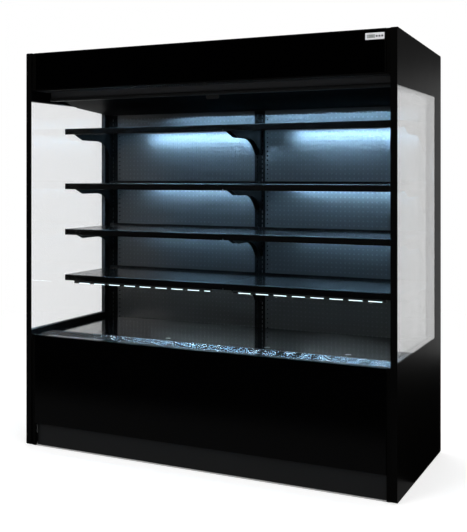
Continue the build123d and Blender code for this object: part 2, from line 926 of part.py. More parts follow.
def compressor():
    """A hermetic compressor: two pressed shells welded at a seam, on a plate and four grommets."""
    low = grommet_height
    high = low + compressor_height
    outline = RegularPolygon(compressor_radius, compressor_sides)
    shell = extrude(Plane.XY.offset(low) * outline, amount=compressor_height)
    ends = shell.faces().sort_by(Axis.Z)[0].edges() + shell.faces().sort_by(Axis.Z)[-1].edges()
    shell = chamfer(ends, compressor_dome)
    seam = RegularPolygon(compressor_radius + compressor_seam, compressor_sides)
    shell += extrude(Plane.XY.offset((low + high) / 2) * seam, amount=compressor_seam)
    plate_length = 2 * (compressor_radius + grommet_radius)
    shell += Pos(0, 0, low + grommet_plate / 2) * Box(
        plate_length, compressor_radius + 2 * grommet_radius, grommet_plate
    )
    grommet = extrude(RegularPolygon(grommet_radius, 8), amount=low + 1)
    for place in GridLocations(2 * compressor_radius, compressor_radius, 2, 2):
        shell += place * grommet
    stub = extrude(RegularPolygon(coil_tube_radius, 8), amount=stub_height)
    for side in (-1, 1):
        stub_x = compressor_radius - compressor_dome
        shell += Pos(stub_x, side * stub_spread, high - stub_height / 2) * stub
    return Pos(compressor_x, compressor_y, unit_seat()) * shell


# Rear service panel and mains gland

def service_limits():
    y_back = back - service_setback
    return (y_back - service_depth, y_back), (unit_floor(), well_bottom - seat_gap)


def rear_service_panel():
    """A pan with four columns of louvre slots and a hole for the mains gland."""
    y, z = service_limits()
    pan = block((-between_sides, between_sides), y, z)
    pan -= block(
        (-between_sides + sheet, between_sides - sheet),
        (y[0] - 1, y[1] - sheet),
        (z[0] + sheet, z[1] - sheet),
    )
    slot = Box(louvre_length, 10, louvre_height)
    middle = (z[0] + z[1]) / 2
    slots = [
        Pos(x, y[1], middle + place.position.Y) * slot
        for x in louvre_x
        for place in GridLocations(1, louvre_pitch, 1, louvre_rows)
    ]
    return pan - slots - along_y(gland_x, gland_z, y[1] - 10, y[1] + 10, gland_radius + seat_gap)


def mains_gland():
    """A screwed cable gland: a body through the panel between two hexagon nuts, and a clear bore."""
    y, _ = service_limits()
    face = y[1]
    behind = face - sheet - seat_gap
    thread = Pos(gland_x, gland_z) * RegularPolygon(gland_radius, gland_sides)
    body = face_along_y(thread, behind - 1, face + seat_gap + 1)
    nut = Pos(gland_x, gland_z) * RegularPolygon(gland_nut_radius, 6)
    outer_nut = face_along_y(nut, face + seat_gap, face + gland_proud)
    inner_nut = face_along_y(nut, face + gland_proud - gland_length, behind)
    bore = along_y(gland_x, gland_z, face - gland_length, face + gland_length, gland_bore)
    return body + outer_nut + inner_nut - bore


# Controller

def controller_limits(margin=0.0):
    x = (controller_right - controller_width + margin, controller_right - margin)
    z = (controller_top - controller_height + margin, controller_top - margin)
    return x, z


def controller_front():
    return face_front + header_pane_recess - controller_proud


def controller_cutout(y_high):
    """The opening for the controller's body through the header."""
    return face_along_y(rectangle(*controller_limits(4 - seat_gap)), face_front, y_high)


def button_middle(number):
    x, z = controller_limits()
    return (x[0] + x[1]) / 2 + button_offset + button_pitch * (number - 0.5), (z[0] + z[1]) / 2


def controller_bezel():
    """A plate with a body behind it, a window for the display and three button holes."""
    proud = controller_front()
    seat = face_front + header_pane_recess - seat_gap
    plate = face_along_y(rectangle(*controller_limits()), proud, seat)
    plate = fillet(plate.edges().filter_by(Axis.Y), 3)
    body = face_along_y(rectangle(*controller_limits(4)), seat - 0.5, seat + controller_body_depth)
    bezel = plate + body
    x, z = controller_limits()
    window = Pos((x[0] + x[1]) / 2 + display_offset, (z[0] + z[1]) / 2)
    bezel -= face_along_y(window * Rectangle(display_width, display_height), proud - 1, proud + 3)
    for number in range(3):
        hole = Pos(*button_middle(number)) * Rectangle(button_size, button_size)
        bezel -= face_along_y(hole, proud - 1, proud + button_travel + 4)
    return bezel


def controller_display():
    x, z = controller_limits()
    window = Pos((x[0] + x[1]) / 2 + display_offset, (z[0] + z[1]) / 2)
    pane = window * Rectangle(display_width - 2 * seat_gap, display_height - 2 * seat_gap)
    proud = controller_front()
    return face_along_y(pane, proud + 0.5, proud + 3 - seat_gap)


def controller_button(number):
    size = button_size - 2 * button_gap
    proud = controller_front()
    cap = face_along_y(
        Pos(*button_middle(number)) * Rectangle(size, size), proud - button_travel - 0.2, proud + 3
    )
    return fillet(cap.edges().group_by(Axis.Y)[0], 0.5)


# Night blind

def roller_y():
    """The fabric leaves the front of the roller and hangs straight down."""
    return blind_line + blind_fabric / 2 + seat_gap + roller_radius


def night_blind_roller():
    """A tube with the fabric wound on it, and a gudgeon at each end in the side panel."""
    half = between_sides - 4
    roll = along_x(roller_y(), roller_height, -half, half, roller_radius)
    reach = inner_side + gudgeon_length
    return roll + along_x(roller_y(), roller_height, -reach, reach, gudgeon_radius)


def blind_half():
    return between_sides - blind_bar_end_gap


def night_blind_fabric():
    y = (blind_line - blind_fabric / 2, blind_line + blind_fabric / 2)
    z = (blind_bar_bottom + blind_bar_height + seat_gap, roller_height)
    return block((-blind_half(), blind_half()), y, z)


def night_blind_bar():
    """The pull bar along the fabric's lower edge, with a grip tab at the bay division."""
    y = (blind_line - blind_bar_depth / 2, blind_line + blind_bar_depth / 2)
    z = (blind_bar_bottom, blind_bar_bottom + blind_bar_height)
    bar = block((-blind_half(), blind_half()), y, z)
    bar = fillet(bar.edges().filter_by(Axis.X), 4)
    tab_z = (blind_bar_bottom - blind_tab_drop, blind_bar_bottom + 6)
    tab_face = rectangle(
        (bay_division - blind_tab_width / 2, bay_division + blind_tab_width / 2), tab_z
    )
    tab_face = fillet(tab_face.vertices().group_by(Axis.Y)[0], 8)
    tab = face_along_y(tab_face, blind_line - blind_tab_sheet / 2, blind_line + blind_tab_sheet / 2)
    return bar + tab


# Write every node

right_side = side_panel()
save("side_panel_right", right_side)
save("side_panel_left", mirror(right_side, about=Plane.YZ))
panes = side_panes()
save("side_glazing_right", *panes)
save("side_glazing_left", *[mirror(pane, about=Plane.YZ) for pane in panes])
spacer = glazing_spacer()
save("glazing_spacers", spacer, mirror(spacer, about=Plane.YZ))

save("rear_casing", rear_casing())
save("rear_service_panel", rear_service_panel())
save("mains_gland", mains_gland())
save("insulated_well", insulated_well())
save("roof_panel", roof_panel())
save("canopy_duct", canopy_duct())
save("air_outlet", air_outlet())
save("header_frame", header_frame())
save("header_pane", header_pane())
save("front_panel", front_panel())
save("end_trims", *end_trims())
save("kick_plate", kick_plate())
save("base_frame", base_frame())
save("levelling_feet", *levelling_feet())

save("shelf_uprights", *[upright(x, columns) for x, columns in upright_places()])
brackets = [
    bracket(x, top) for bay in (0, 1) for x in bracket_places(bay) for top in shelf_tops()
]
save("shelf_brackets", *brackets)
save("back_panels", back_panel(0), back_panel(1))
for bay, bay_name in enumerate(("left", "right")):
    save(f"deck_tray_{bay_name}", deck_tray(bay))
    for level, top in enumerate(shelf_tops(), start=1):
        save(f"shelf_{level}_{bay_name}", shelf_tray(bay, top))
        save(f"led_strip_{level}_{bay_name}", led_strip(bay, top))
save("canopy_light", canopy_light())
save("return_grille", return_grille())

save("evaporator_coil", evaporator_coil())
save("evaporator_fan_plate", evaporator_fan_plate())
for number in range(len(evaporator_fan_x)):
    save(f"evaporator_fan_{number + 1}", evaporator_fan(number))
save("condensing_unit_base", condensing_unit_base())
save("compressor", compressor())
save("condenser_coil", condenser_coil())
save("condenser_shroud", condenser_shroud())
save("condenser_fan", condenser_fan())

save("controller_bezel", controller_bezel())
save("controller_display", controller_display())
for number in range(3):
    save(f"controller_button_{number + 1}", controller_button(number))

save("night_blind_roller", night_blind_roller())
save("night_blind_fabric", night_blind_fabric())
save("night_blind_bar", night_blind_bar())
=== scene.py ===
"""Open multideck display fridge, dressed around its CAD nodes. Metres, in the frame's own axes."""
import json
import math

import bmesh
import bpy
from mathutils import Matrix, Vector

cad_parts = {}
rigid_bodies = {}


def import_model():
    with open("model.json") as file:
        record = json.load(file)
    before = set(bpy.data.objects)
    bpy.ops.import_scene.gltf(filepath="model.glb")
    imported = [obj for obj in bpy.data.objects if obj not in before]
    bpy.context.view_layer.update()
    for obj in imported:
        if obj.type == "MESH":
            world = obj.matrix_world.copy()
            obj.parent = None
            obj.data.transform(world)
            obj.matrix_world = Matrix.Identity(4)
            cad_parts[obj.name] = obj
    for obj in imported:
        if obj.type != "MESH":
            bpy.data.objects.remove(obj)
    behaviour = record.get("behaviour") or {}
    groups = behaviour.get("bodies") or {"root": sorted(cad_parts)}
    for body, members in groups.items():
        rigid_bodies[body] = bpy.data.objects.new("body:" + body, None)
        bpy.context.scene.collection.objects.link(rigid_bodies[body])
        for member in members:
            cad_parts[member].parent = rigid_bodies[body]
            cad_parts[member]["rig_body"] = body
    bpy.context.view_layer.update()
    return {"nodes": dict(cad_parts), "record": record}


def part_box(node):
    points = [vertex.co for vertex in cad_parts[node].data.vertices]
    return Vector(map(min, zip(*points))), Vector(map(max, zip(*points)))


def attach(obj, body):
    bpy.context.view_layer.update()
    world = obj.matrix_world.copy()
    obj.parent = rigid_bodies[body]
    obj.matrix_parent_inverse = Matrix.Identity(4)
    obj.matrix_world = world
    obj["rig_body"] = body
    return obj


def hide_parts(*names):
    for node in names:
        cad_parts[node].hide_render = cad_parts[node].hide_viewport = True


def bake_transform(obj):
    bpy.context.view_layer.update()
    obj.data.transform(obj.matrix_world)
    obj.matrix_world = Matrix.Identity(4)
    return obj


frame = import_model()
nodes = frame["nodes"]
slots = {row["node"]: row["material_slot"] for row in frame["record"]["subparts"]}
scene = bpy.context.scene
scene.view_settings.view_transform = "Standard"

# Camera.
# It stands level at chest height, to the right of the open front, with its lens shifted down so
# that the cabinet's uprights stay upright in the picture.
camera_place = (1.982, -4.077, 1.380)
camera_turn = 0.4495
bpy.ops.object.select_all(action="DESELECT")
bpy.ops.object.camera_add(location=camera_place, rotation=(math.radians(90), 0, camera_turn))
camera = bpy.context.object
camera.data.lens = 60.83
camera.data.shift_y = -0.1716
scene.camera = camera

# Base frame and levelling feet.
# Welded steel channel under the whole cabinet, painted grey, on eight feet. Each foot is a round
# zinc-plated pad on a threaded hexagonal stem, screwed up into the frame.


class Shade:
    """A socket in a finish's node tree. Sums on it add Math nodes, and node() adds the others."""

    def __init__(self, tree, socket=None):
        self.tree = tree
        self.socket = socket

    def node(self, kind, settings=None, values=None, output=0):
        """Add a node, settings first, then the value or the link of each named socket."""
        added = self.tree.nodes.new("ShaderNode" + kind)
        for name, value in (settings or {}).items():
            setattr(added, name, value)
        for name, value in (values or {}).items():
            if isinstance(value, Shade):
                self.tree.links.new(value.socket, added.inputs[name])
            else:
                added.inputs[name].default_value = value
        return Shade(self.tree, added.outputs[output] if len(added.outputs) else None)

    def math(self, operation, *others):
        """A Math node with this value first and the others after it."""
        return self.node("Math", {"operation": operation}, dict(enumerate((self, *others))))

    def clamped(self, low, high):
        """This value, kept between two numbers."""
        return self.math("MAXIMUM", low).math("MINIMUM", high)

    def part(self, axis):
        """One of X, Y and Z of a vector."""
        return self.node("SeparateXYZ", None, {"Vector": self}, output=axis)

    def __add__(self, other):
        return self.math("ADD", other)

    def __radd__(self, other):
        return self.math("ADD", other)

    def __sub__(self, other):
        return self.math("SUBTRACT", other)

    def __rsub__(self, other):
        return self.node("Math", {"operation": "SUBTRACT"}, {0: other, 1: self})

    def __mul__(self, other):
        return self.math("MULTIPLY", other)

    def __rmul__(self, other):
        return self.math("MULTIPLY", other)

    def __truediv__(self, other):
        return self.math("DIVIDE", other)

    def __gt__(self, other):
        return self.math("GREATER_THAN", other)

    def __lt__(self, other):
        return self.math("LESS_THAN", other)

    def mix(self, first, second):
        """A colour between two, with this value as the share of the second."""
        return self.node(
            "Mix", {"data_type": "RGBA"}, {0: self, 6: first, 7: second}, output=2
        )


def new_finish(name):
    """An empty material, and a Shade on its tree."""
    material = bpy.data.materials.new(name)
    material.use_nodes = True
    material.node_tree.nodes.clear()
    return material, Shade(material.node_tree)


def placed(shade):
    """The piece's own coordinates in metres."""
    return shade.node("TexCoord", output="Object")


def noise(shade, scale, detail=3.0, stretch=(1, 1, 1)):
    """Soft noise between 0 and 1, pulled out along an axis where its stretch is under 1."""
    vector = shade.node("Mapping", None, {"Vector": placed(shade), "Scale": stretch})
    return shade.node("TexNoise", None, {"Vector": vector, "Scale": scale, "Detail": detail})


def tinted(colour, factor):
    """A colour made darker or lighter by a factor, with full alpha."""
    return tuple(min(1.0, channel * factor) for channel in colour[:3]) + (1.0,)


def relief(shade, height, strength, distance):
    """A bump from a height between 0 and 1. At full strength it is as deep as the distance."""
    return shade.node(
        "Bump", None, {"Strength": strength, "Distance": distance, "Height": height}
    )


def coated(
    name, colour, roughness, grain=1.0, specular=0.5, metallic=0.0, uneven=0.12, coat=0.0, ior=1.5
):
    """A sprayed or moulded surface: faint mottling, uneven gloss and a fine orange-peel relief."""
    material, shade = new_finish(name)
    broad = noise(shade, 7.0)
    values = {
        "Base Color": broad.mix(tinted(colour, 1 - uneven), tinted(colour, 1 + uneven)),
        "Roughness": roughness * (1 - uneven + 2 * uneven * broad),
        "Metallic": metallic,
        "Specular IOR Level": specular,
        "IOR": ior,
        "Coat Weight": coat,
    }
    if grain:
        values["Normal"] = relief(shade, noise(shade, 900.0, 2.0), 0.05 * grain, 0.0002)
    body = shade.node("BsdfPrincipled", None, values)
    shade.node("OutputMaterial", None, {"Surface": body})
    return material


def dress(material, *names):
    """Give CAD nodes a finish."""
    for name in names:
        mesh = nodes[name].data
        mesh.materials.clear()
        mesh.materials.append(material)


def pick(piece, *others):
    """Make this the active object, and select only it and the others."""
    bpy.ops.object.select_all(action="DESELECT")
    for one in (piece, *others):
        one.select_set(True)
    bpy.context.view_layer.objects.active = piece


def shape_edit(piece):
    """Open a piece in edit mode, with nothing selected."""
    pick(piece)
    bpy.ops.object.mode_set(mode="EDIT")
    bpy.ops.mesh.select_all(action="DESELECT")


def end_edit():
    """Leave edit mode."""
    bpy.ops.object.mode_set(mode="OBJECT")


def choose(piece, kind, test):
    """In edit mode, select only the edges or the faces that pass a test."""
    bpy.ops.mesh.select_mode(type=kind)
    bpy.ops.mesh.select_all(action="DESELECT")
    shape = bmesh.from_edit_mesh(piece.data)
    for part in shape.edges if kind == "EDGE" else shape.faces:
        if test(part):
            part.select_set(True)
    shape.select_flush_mode()
    bmesh.update_edit_mesh(piece.data)


def middle_of(part):
    """Middle of an edge or a face."""
    places = [vertex.co for vertex in part.verts]
    return sum(places[1:], places[0].copy()) / len(places)


def named(name):
    """Name the object just added, and put its turn, size and place in its mesh."""
    piece = bpy.context.object
    piece.name = name
    bpy.ops.object.transform_apply(location=True, rotation=True, scale=True)
    return piece


def block(name, low, high):
    """The start of a square piece, between two corners."""
    bpy.ops.object.select_all(action="DESELECT")
    middle = [(a + b) / 2 for a, b in zip(low, high)]
    bpy.ops.mesh.primitive_cube_add(size=1, location=middle)
    bpy.context.object.scale = [b - a for a, b in zip(low, high)]
    return named(name)


def rod(name, middle, radius, length, turn=(0, 0, 0), sides=24):
    """The start of a round piece, along Z before it is turned."""
    bpy.ops.object.select_all(action="DESELECT")
    bpy.ops.mesh.primitive_cylinder_add(
        vertices=sides, radius=radius, depth=length, location=middle, rotation=turn
    )
    return named(name)


ALONG_X = (0, math.radians(90), 0)
ALONG_Y = (math.radians(90), 0, 0)


def repeated(piece, shifts):
    """Join a piece with copies of itself at these shifts from it."""
    copies = []
    for shift in shifts:
        copy = bpy.data.objects.new(piece.name, piece.data.copy())
        copy.data.transform(Matrix.Translation(shift))
        scene.collection.objects.link(copy)
        copies.append(copy)
    joined(piece, *copies)


def joined(piece, *others):
    """Several meshes made one piece, which keeps the first one's name."""
    pick(piece, *others)
    bpy.ops.object.join()
    return piece


def applied(piece, kind, **settings):
    """Add a modifier with these settings, and apply it."""
    modifier = piece.modifiers.new(kind.lower(), kind)
    for name, value in settings.items():
        setattr(modifier, name, value)
    pick(piece)
    bpy.ops.object.modifier_apply(modifier=modifier.name)


def bevelled(piece, width, segments=2, angle=35):
    """Round the sharp edges of a piece."""
    applied(
        piece, "BEVEL", width=width, segments=segments, limit_method="ANGLE",
        angle_limit=math.radians(angle), use_clamp_overlap=True,
    )


def stand_for(piece, material, *names, body=None, slot_name=None):
    """Finish a piece, put it on its body and let it stand for CAD nodes."""
    piece.data.materials.clear()
    piece.data.materials.append(material)
    pick(piece)
    bpy.ops.object.shade_smooth_by_angle(angle=math.radians(32))
    applied(piece, "WEIGHTED_NORMAL", keep_sharp=True)
    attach(piece, body or nodes[names[0]]["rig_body"])
    if names:
        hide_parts(*names)


def eased(name, width, material, segments=2):
    """A copy of a CAD node, merged, with its edges rounded as the real piece's are."""
    piece = bpy.data.objects.new(name + "_eased", nodes[name].data.copy())
    scene.collection.objects.link(piece)
    shape_edit(piece)
    bpy.ops.mesh.select_all(action="SELECT")
    bpy.ops.mesh.remove_doubles(threshold=0.00002)
    bpy.ops.mesh.dissolve_limited(angle_limit=math.radians(0.5))
    end_edit()
    bevelled(piece, width, segments)
    stand_for(piece, material, name)


grey_steel = coated("grey_coated_steel", (0.36, 0.37, 0.38), 0.42)
zinc = coated("zinc_plate", (0.52, 0.52, 0.5), 0.32, metallic=1.0)
eased("base_frame", 0.002, grey_steel)

foot_places = [(x, y) for x in (-0.9172, -0.3, 0.3, 0.9172) for y in (-0.3492, 0.348)]
first_x, first_y = foot_places[0]
pad_radius, pad_height, pad_rise = 0.020, 0.008, 0.003
stem_radius, stem_length, stem_middle = 0.0058, 0.087, 0.0515
thread_start, thread_radius, thread_collar = 0.030, 0.0050, 0.0012
thread_crests, crest_step, crest_growth = 42, 0.0007, 1.14
pad = rod(
    "levelling_feet_pads", (first_x, first_y, pad_height / 2), pad_radius, pad_height, sides=32
)
shape_edit(pad)
choose(pad, "FACE", lambda face: face.normal.z > 0.9)
bpy.ops.mesh.inset(thickness=0.009)
bpy.ops.transform.translate(value=(0, 0, pad_rise))
end_edit()
bevelled(pad, 0.001)
stem = rod(
    "levelling_feet_stems", (first_x, first_y, stem_middle), stem_radius, stem_length, sides=6
)
shape_edit(stem)
bpy.ops.mesh.select_all(action="SELECT")
bpy.ops.mesh.bisect(
    plane_co=(first_x, first_y, thread_start), plane_no=(0, 0, 1), clear_outer=True, use_fill=True
)
end_edit()
bevelled(stem, 0.0006)
thread = rod(
    "levelling_feet_threads", (first_x, first_y, thread_start + 0.0005), thread_radius,
    thread_collar, sides=16,
)
shape_edit(thread)
choose(thread, "FACE", lambda face: face.normal.z > 0.9)
for crest in range(thread_crests):
    bpy.ops.mesh.extrude_region_move(TRANSFORM_OT_translate={"value": (0, 0, crest_step)})
    size = crest_growth if crest % 2 == 0 else 1 / crest_growth
    bpy.ops.transform.resize(value=(size, size, 1), center_override=(first_x, first_y, 0))
end_edit()
foot = joined(pad, stem, thread)
foot.name = "levelling_feet_turned"
repeated(foot, [(x - first_x, y - first_y, 0) for x, y in foot_places[1:]])
stand_for(foot, zinc, "levelling_feet")

# Condensing unit.
# A hermetic compressor, a finned coil and its fan in a shroud, on a folded tray. Copper tube, which
# is brazed on, joins the compressor to the coil.


def finned(name, colour, pitch):
    """Thin bright fins side by side, as light lines at their real spacing, with painted shade as
    the dark lines between them.
    """
    material, shade = new_finish(name)
    wave = (placed(shade).part("X") * (2 * math.pi / pitch)).math("SINE") * 0.5 + 0.5
    edge = wave.math("POWER", 3.0)
    dust = noise(shade, 14.0)
    # Painted shade: dark lines between the fins, bright fin crests.
    lit = edge.mix(tinted(colour, 0.12), tinted(colour, 1.0))
    body = shade.node("BsdfPrincipled", None, {
        "Base Color": (dust * 0.35).mix(lit, tinted(colour, 0.4)),
        "Roughness": 0.3 + 0.2 * dust,
        "Metallic": 0.9 * edge,
        "Normal": relief(shade, edge, 0.5, 0.0008),
    })
    shade.node("OutputMaterial", None, {"Surface": body})
    return material


def tube(name, points, radius):
    """A bent tube through these points, as a mesh."""
    curve = bpy.data.curves.new(name, "CURVE")
    curve.dimensions = "3D"
    curve.bevel_depth = radius
    curve.bevel_resolution = 4
    curve.resolution_u = 6
    line = curve.splines.new("NURBS")
    line.points.add(len(points) - 1)
    for point, place in zip(line.points, points):
        point.co = (*place, 1)
    line.order_u = 3
    line.use_endpoint_u = True
    piece = bpy.data.objects.new(name, curve)
    scene.collection.objects.link(piece)
    pick(piece)
    bpy.ops.object.convert(target="MESH")
    return bpy.context.object


unit_black = coated("unit_black_enamel", (0.02, 0.02, 0.021), 0.3, coat=0.3)
black_plastic = coated("black_plastic", (0.022, 0.022, 0.024), 0.5)
condenser_fins = finned("condenser_fins", (0.5, 0.5, 0.5), 0.0022)
copper = coated("copper_tube", (0.75, 0.32, 0.18), 0.28, metallic=1.0, uneven=0.25)
eased("condensing_unit_base", 0.0006, grey_steel, 1)
eased("compressor", 0.003, unit_black, 3)
dress(condenser_fins, "condenser_coil")
eased("condenser_shroud", 0.0006, black_plastic, 1)
for number, (stub_y, low, high) in enumerate(((0.090, 0.235, 0.330), (0.150, 0.290, 0.335))):
    route = [
        (0.618, stub_y, 0.300), (0.618, stub_y, high),
        (0.640, stub_y, high + 0.005), (0.690, stub_y, high),
        (0.720, 0.030, high), (0.830, -0.080, high - 0.01), (0.890, -0.180, high - 0.02),
        (0.893, -0.260, high - 0.03), (0.893, -0.298, low), (0.872, -0.300, low),
    ]
    pipe = tube(f"refrigerant_tube_{number + 1}", route, 0.004)
    stand_for(pipe, copper, body="cabinet", slot_name=slots["condenser_coil"])


def rotor_blade(name, hub, radius):
    """One fan blade about Z: a thin plate, swept back and twisted, most of all at its root."""
    bpy.ops.object.select_all(action="DESELECT")
    bpy.ops.mesh.primitive_grid_add(x_subdivisions=8, y_subdivisions=6, size=1)
    blade = bpy.context.object
    blade.name = name
    for vertex in blade.data.vertices:
        out = vertex.co.x + 0.5
        across = vertex.co.y
        reach = hub + out * (radius - hub)
        sweep = 0.35 * out * out
        half = 0.30 + 0.08 * out
        turn = across * 2 * half + sweep
        pitch = math.tan(math.radians(38 - 16 * out))
        camber = 0.10 * (0.25 - across * across)
        vertex.co.x = reach * math.cos(turn)
        vertex.co.y = reach * math.sin(turn)
        vertex.co.z = (across * 2 * half * pitch * 0.7 + camber) * reach
    applied(blade, "SOLIDIFY", thickness=0.0016, offset=0)
    bevelled(blade, 0.0005, 1)
    return blade


def axial_fan(name, node, centre, facing, radius, material):
    """A moulded rotor of five blades in place of a CAD rotor, on the same axis."""
    blades, hub, hub_deep = 5, 0.026, 0.022
    rim, dish, dish_deep = 0.004, 0.012, 0.006
    middle = rod(name, (0, 0, 0), hub, hub_deep, sides=40)
    shape_edit(middle)
    choose(middle, "FACE", lambda face: face.normal.z > 0.9)
    bpy.ops.mesh.inset(thickness=rim)
    bpy.ops.mesh.inset(thickness=dish, depth=-dish_deep)
    end_edit()
    bevelled(middle, 0.0015, 2)
    root_overlap = 0.002
    first = rotor_blade(name + "_blade", hub - root_overlap, radius)
    parts = [first]
    for number in range(1, blades):
        copy = bpy.data.objects.new(name, first.data.copy())
        copy.data.transform(Matrix.Rotation(2 * math.pi * number / blades, 4, "Z"))
        scene.collection.objects.link(copy)
        parts.append(copy)
    rotor = joined(middle, *parts)
    turn = Vector(facing).to_track_quat("Z", "X").to_matrix().to_4x4()
    rotor.data.transform(Matrix.Translation(centre) @ turn)
    stand_for(rotor, material, node)


axial_fan(
    "condenser_rotor", "condenser_fan", (0.668, -0.2387, 0.2121), (0, -1, 0), 0.098, black_plastic
)

# Rear casing, service panel, roof and mains gland.
# Coated steel skins over foam, with pressed grooves behind and ribs on the roof. Pan-head screws
# hold the casing and the service panel, and the gland's two nuts clamp through that panel.


def screws(name, places):
    """Zinc pan-head screws with a round socket, on faces that look backwards."""
    radius, high = 0.004, 0.0016
    first = places[0]
    head = rod(name, (first[0], first[1] + high / 2, first[2]), radius, high, ALONG_Y, sides=18)
    shape_edit(head)
    choose(head, "FACE", lambda face: face.normal.y > 0.9)
    bpy.ops.mesh.inset(thickness=radius * 0.5)
    bpy.ops.mesh.inset(thickness=0.00001, depth=-high * 0.7)
    end_edit()
    bevelled(head, high * 0.35, 2, 60)
    repeated(head, [[b - a for a, b in zip(first, place)] for place in places[1:]])
    stand_for(head, zinc, body="cabinet", slot_name=slots["levelling_feet"])


rear_steel = coated("rear_coated_steel", (0.33, 0.34, 0.35), 0.45)
casing_skin = 0.392
casing_back = 0.3980
screw_edge, screw_seam = 0.922, 0.468
screw_low, screw_pitch, screw_rows = 0.375, 0.2475, 7
lined_steel, shade = new_finish("lined_steel")
broad = noise(shade, 7.0)
lining = placed(shade).part("Y") < casing_skin
skin = broad.mix((0.29, 0.3, 0.31, 1), (0.36, 0.37, 0.38, 1))
body = shade.node("BsdfPrincipled", None, {
    "Base Color": lining.mix(skin, (0.12, 0.122, 0.125, 1)),
    "Roughness": 0.4 + 0.1 * broad,
    "Normal": relief(shade, noise(shade, 900.0, 2.0), 0.05, 0.0002),
})
shade.node("OutputMaterial", None, {"Surface": body})
eased("rear_casing", 0.0012, lined_steel)
eased("rear_service_panel", 0.0008, rear_steel, 1)
eased("roof_panel", 0.0015, rear_steel)
screws("casing_screws", [
    (x, casing_back, screw_low + screw_pitch * row)
    for x in (-screw_edge, -screw_seam, 0.0, screw_seam, screw_edge) for row in range(screw_rows)
    if abs(x) != screw_seam or row in (0, screw_rows - 1)
])
screws("service_panel_screws", [
    (x, casing_skin, z)
    for x in (-screw_edge, -0.37, 0.01, 0.39, screw_edge) for z in (0.112, 0.338)
])
dress(black_plastic, "mains_gland")

# Side panels.
# Steel skins over foam, sprayed gloss black. Each has a window cut through it for the double
# glazing, and its top edge falls towards the back.
side_black = coated("side_black", (0.0018, 0.0017, 0.0016), 0.3, grain=0, specular=0.01)
for side in ("left", "right"):
    eased(f"side_panel_{side}", 0.0012, side_black)

# Side glazing.
# Two toughened panes in each side, bonded to a black spacer that runs between them along the
# edge. The unit sits in the window, a little behind both skins.


def clear_glass(name):
    """Clear glass with faint smears. It lets shadow rays and soft light straight through."""
    material, shade = new_finish(name)
    smear = noise(shade, 3.0, 5.0, (1, 1, 0.4))
    pane = shade.node("BsdfPrincipled", None, {
        "Base Color": (0.99, 0.995, 1.0, 1),
        "Roughness": 0.03 * smear,
        "IOR": 1.5,
        "Transmission Weight": 1.0,
    })
    through = shade.node("BsdfTransparent", None, {"Color": (0.92, 0.95, 0.94, 1)})
    shadow = shade.node("LightPath", output="Is Shadow Ray")
    soft = shade.node("LightPath", output="Is Diffuse Ray")
    share = shadow.math("MAXIMUM", soft)
    body = shade.node("MixShader", None, {0: share, 1: pane, 2: through})
    shade.node("OutputMaterial", None, {"Surface": body})
    return material


glass = clear_glass("clear_glass")
dress(glass, "side_glazing_left", "side_glazing_right")
eased("glazing_spacers", 0.0005, black_plastic, 1)

# Insulated well, evaporator and its fans.
# A foamed trough under the deck. The evaporator lies on its floor, and a sloping plate with three
# axial fans draws the air that comes in through the grille.
liner = coated("well_liner", (0.1, 0.1, 0.105), 0.45)
evaporator_fins = finned("evaporator_fins", (0.55, 0.56, 0.57), 0.005)
fan_grey = coated("fan_grey", (0.05, 0.05, 0.052), 0.45)
eased("insulated_well", 0.002, liner)
eased("evaporator_fan_plate", 0.0006, black_plastic, 1)
dress(evaporator_fins, "evaporator_coil")
for number, x in enumerate((-0.6, 0.0, 0.6)):
    node = f"evaporator_fan_{number + 1}"
    axial_fan(f"{node}_rotor", node, (x, -0.1431, 0.4744), (0, 0.846, 0.533), 0.074, fan_grey)

# Canopy: duct and air outlet.
# A sloping steel lining closes the air duct under the roof. The air comes out at its front edge
# through a honeycomb that keeps the air curtain straight.
duct_black = coated("duct_black", (0.001, 0.001, 0.001), 0.5, grain=0, specular=0.03)
eased("canopy_duct", 0.0004, duct_black, 1)
outlet_low = (-0.9372, -0.3757, 1.808)
outlet_high = (0.9372, -0.2620, 1.830)
cell = 0.0125
cell_wall = 0.0005
comb_border = 0.010
first_cell = (
    outlet_low[0] + comb_border + cell / 2, outlet_low[1] + comb_border + cell / 2, outlet_low[2]
)
bpy.ops.object.select_all(action="DESELECT")
bpy.ops.mesh.primitive_circle_add(
    vertices=6, radius=cell / math.sqrt(3), fill_type="NGON", location=first_cell,
    rotation=(0, 0, math.radians(30)),
)
comb = named("outlet_honeycomb")
comb_long = outlet_high[0] - outlet_low[0] - 2 * comb_border
comb_wide = outlet_high[1] - outlet_low[1] - 2 * comb_border
row_step = cell * math.sqrt(3) / 2
applied(
    comb, "ARRAY", count=2, use_relative_offset=False, use_constant_offset=True,
    constant_offset_displace=(cell / 2, row_step, 0),
)
applied(
    comb, "ARRAY", count=int(comb_wide / row_step / 2), use_relative_offset=False,
    use_constant_offset=True, constant_offset_displace=(0, 2 * row_step, 0),
)
applied(
    comb, "ARRAY", count=int(comb_long / cell - 0.5), use_relative_offset=False,
    use_constant_offset=True, constant_offset_displace=(cell, 0, 0),
)
shape_edit(comb)
bpy.ops.mesh.select_all(action="SELECT")
bpy.ops.mesh.remove_doubles(threshold=cell / 50)
bpy.ops.mesh.select_mode(type="FACE")
bpy.ops.mesh.select_all(action="SELECT")
bpy.ops.mesh.inset(use_individual=True, thickness=cell_wall)
choose(comb, "FACE", lambda face: len(face.verts) == 6)
bpy.ops.mesh.delete(type="FACE")
bpy.ops.mesh.select_all(action="SELECT")
comb_deep = outlet_high[2] - outlet_low[2]
bpy.ops.mesh.extrude_region_move(TRANSFORM_OT_translate={"value": (0, 0, comb_deep)})
bpy.ops.mesh.select_all(action="SELECT")
bpy.ops.mesh.normals_make_consistent(inside=False)
end_edit()
outlet_frame = block("outlet_frame", outlet_low, outlet_high)
shape_edit(outlet_frame)
choose(outlet_frame, "FACE", lambda face: abs(face.normal.z) > 0.9)
bpy.ops.mesh.inset(thickness=comb_border)
